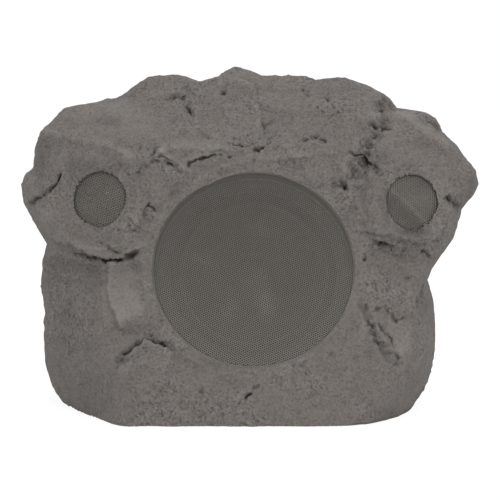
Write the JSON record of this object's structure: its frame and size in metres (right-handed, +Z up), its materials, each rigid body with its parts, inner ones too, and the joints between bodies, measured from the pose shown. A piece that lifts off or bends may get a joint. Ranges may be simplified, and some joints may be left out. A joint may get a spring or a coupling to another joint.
{
  "type": "rock shaped garden speaker",
  "caption": "Outdoor loudspeaker cast as a weathered grey rock, with a large round woofer grille in front and small tweeter grilles on the shoulders.",
  "frame": {"origin": "on the floor, in the underside of the base plate, below the woofer's axis", "axes": "+Z up, the rock faces -Y, +X to the right as seen from the front"},
  "size_m": [0.499, 0.3519, 0.363],
  "materials": {
    "rock": "cast, rough and pitted, weathered grey",
    "grille_paint": "matt powder coat, finely perforated",
    "base_plastic": "moulded, matt black",
    "gasket_foam": "closed cell, matt",
    "black_screw": "blackened, satin",
    "gland_plastic": "moulded, matt black",
    "seal_rubber": "soft, matt",
    "basket_paint": "satin black stove enamel",
    "cone_poly": "satin, dark grey",
    "surround_rubber": "soft, satin",
    "former_film": "amber film on metal",
    "copper_wire": "enamelled copper",
    "spider_cloth": "woven, stiffened",
    "plated_iron": "zinc plated, turned",
    "ferrite": "sintered, dark grey",
    "terminal_fibre": "pressed fibre strip with tinned tabs",
    "faceplate_plastic": "satin black",
    "dome_cloth": "coated cloth, satin",
    "board_fibre": "glass fibre board with green lacquer",
    "capacitor_film": "shrink sleeve, yellow",
    "resistor_cement": "cement, off-white",
    "block_plastic": "moulded, dark grey",
    "lead_jacket": "soft jacket, black"
  },
  "bodies": {
    "enclosure": {"base_gasket": "gasket_foam", "base_plate": "base_plastic", "base_screws": "black_screw", "board_screws": "black_screw", "capacitor_left": "capacitor_film", "capacitor_right": "capacitor_film", "crossover_board": "board_fibre", "gland_body": "gland_plastic", "gland_cap_nut": "gland_plastic", "gland_locknut": "gland_plastic", "gland_seal": "seal_rubber", "inductor_left": "copper_wire", "inductor_right": "copper_wire", "resistor_left": "resistor_cement", "resistor_right": "resistor_cement", "rock_shell": "rock", "terminal_block": "block_plastic", "tweeter_left_dome": "dome_cloth", "tweeter_left_faceplate": "faceplate_plastic", "tweeter_left_gasket": "gasket_foam", "tweeter_left_grille": "grille_paint", "tweeter_left_lead": "lead_jacket", "tweeter_left_magnet": "ferrite", "tweeter_left_screws": "black_screw", "tweeter_left_top_plate": "plated_iron", "tweeter_left_yoke": "plated_iron", "tweeter_right_dome": "dome_cloth", "tweeter_right_faceplate": "faceplate_plastic", "tweeter_right_gasket": "gasket_foam", "tweeter_right_grille": "grille_paint", "tweeter_right_lead": "lead_jacket", "tweeter_right_magnet": "ferrite", "tweeter_right_screws": "black_screw", "tweeter_right_top_plate": "plated_iron", "tweeter_right_yoke": "plated_iron", "woofer_basket": "basket_paint", "woofer_gasket": "gasket_foam", "woofer_grille": "grille_paint", "woofer_lead": "lead_jacket", "woofer_magnet": "ferrite", "woofer_screws": "black_screw", "woofer_spider": "spider_cloth", "woofer_surround": "surround_rubber", "woofer_terminals": "terminal_fibre", "woofer_top_plate": "plated_iron", "woofer_yoke": "plated_iron"},
    "woofer_diaphragm": {"woofer_cone": "cone_poly", "woofer_dust_cap": "cone_poly", "voice_coil_former": "former_film", "voice_coil_winding": "copper_wire"}
  },
  "joints": [
    {"name": "cone_stroke", "type": "slide", "parent": "enclosure", "child": "woofer_diaphragm", "axis": [0, -0.9135, 0.4067], "range_m": [-0.005, 0.005], "stiffness_N_per_m": 1400, "deforming": ["woofer_surround", "woofer_spider"]}
  ]
}
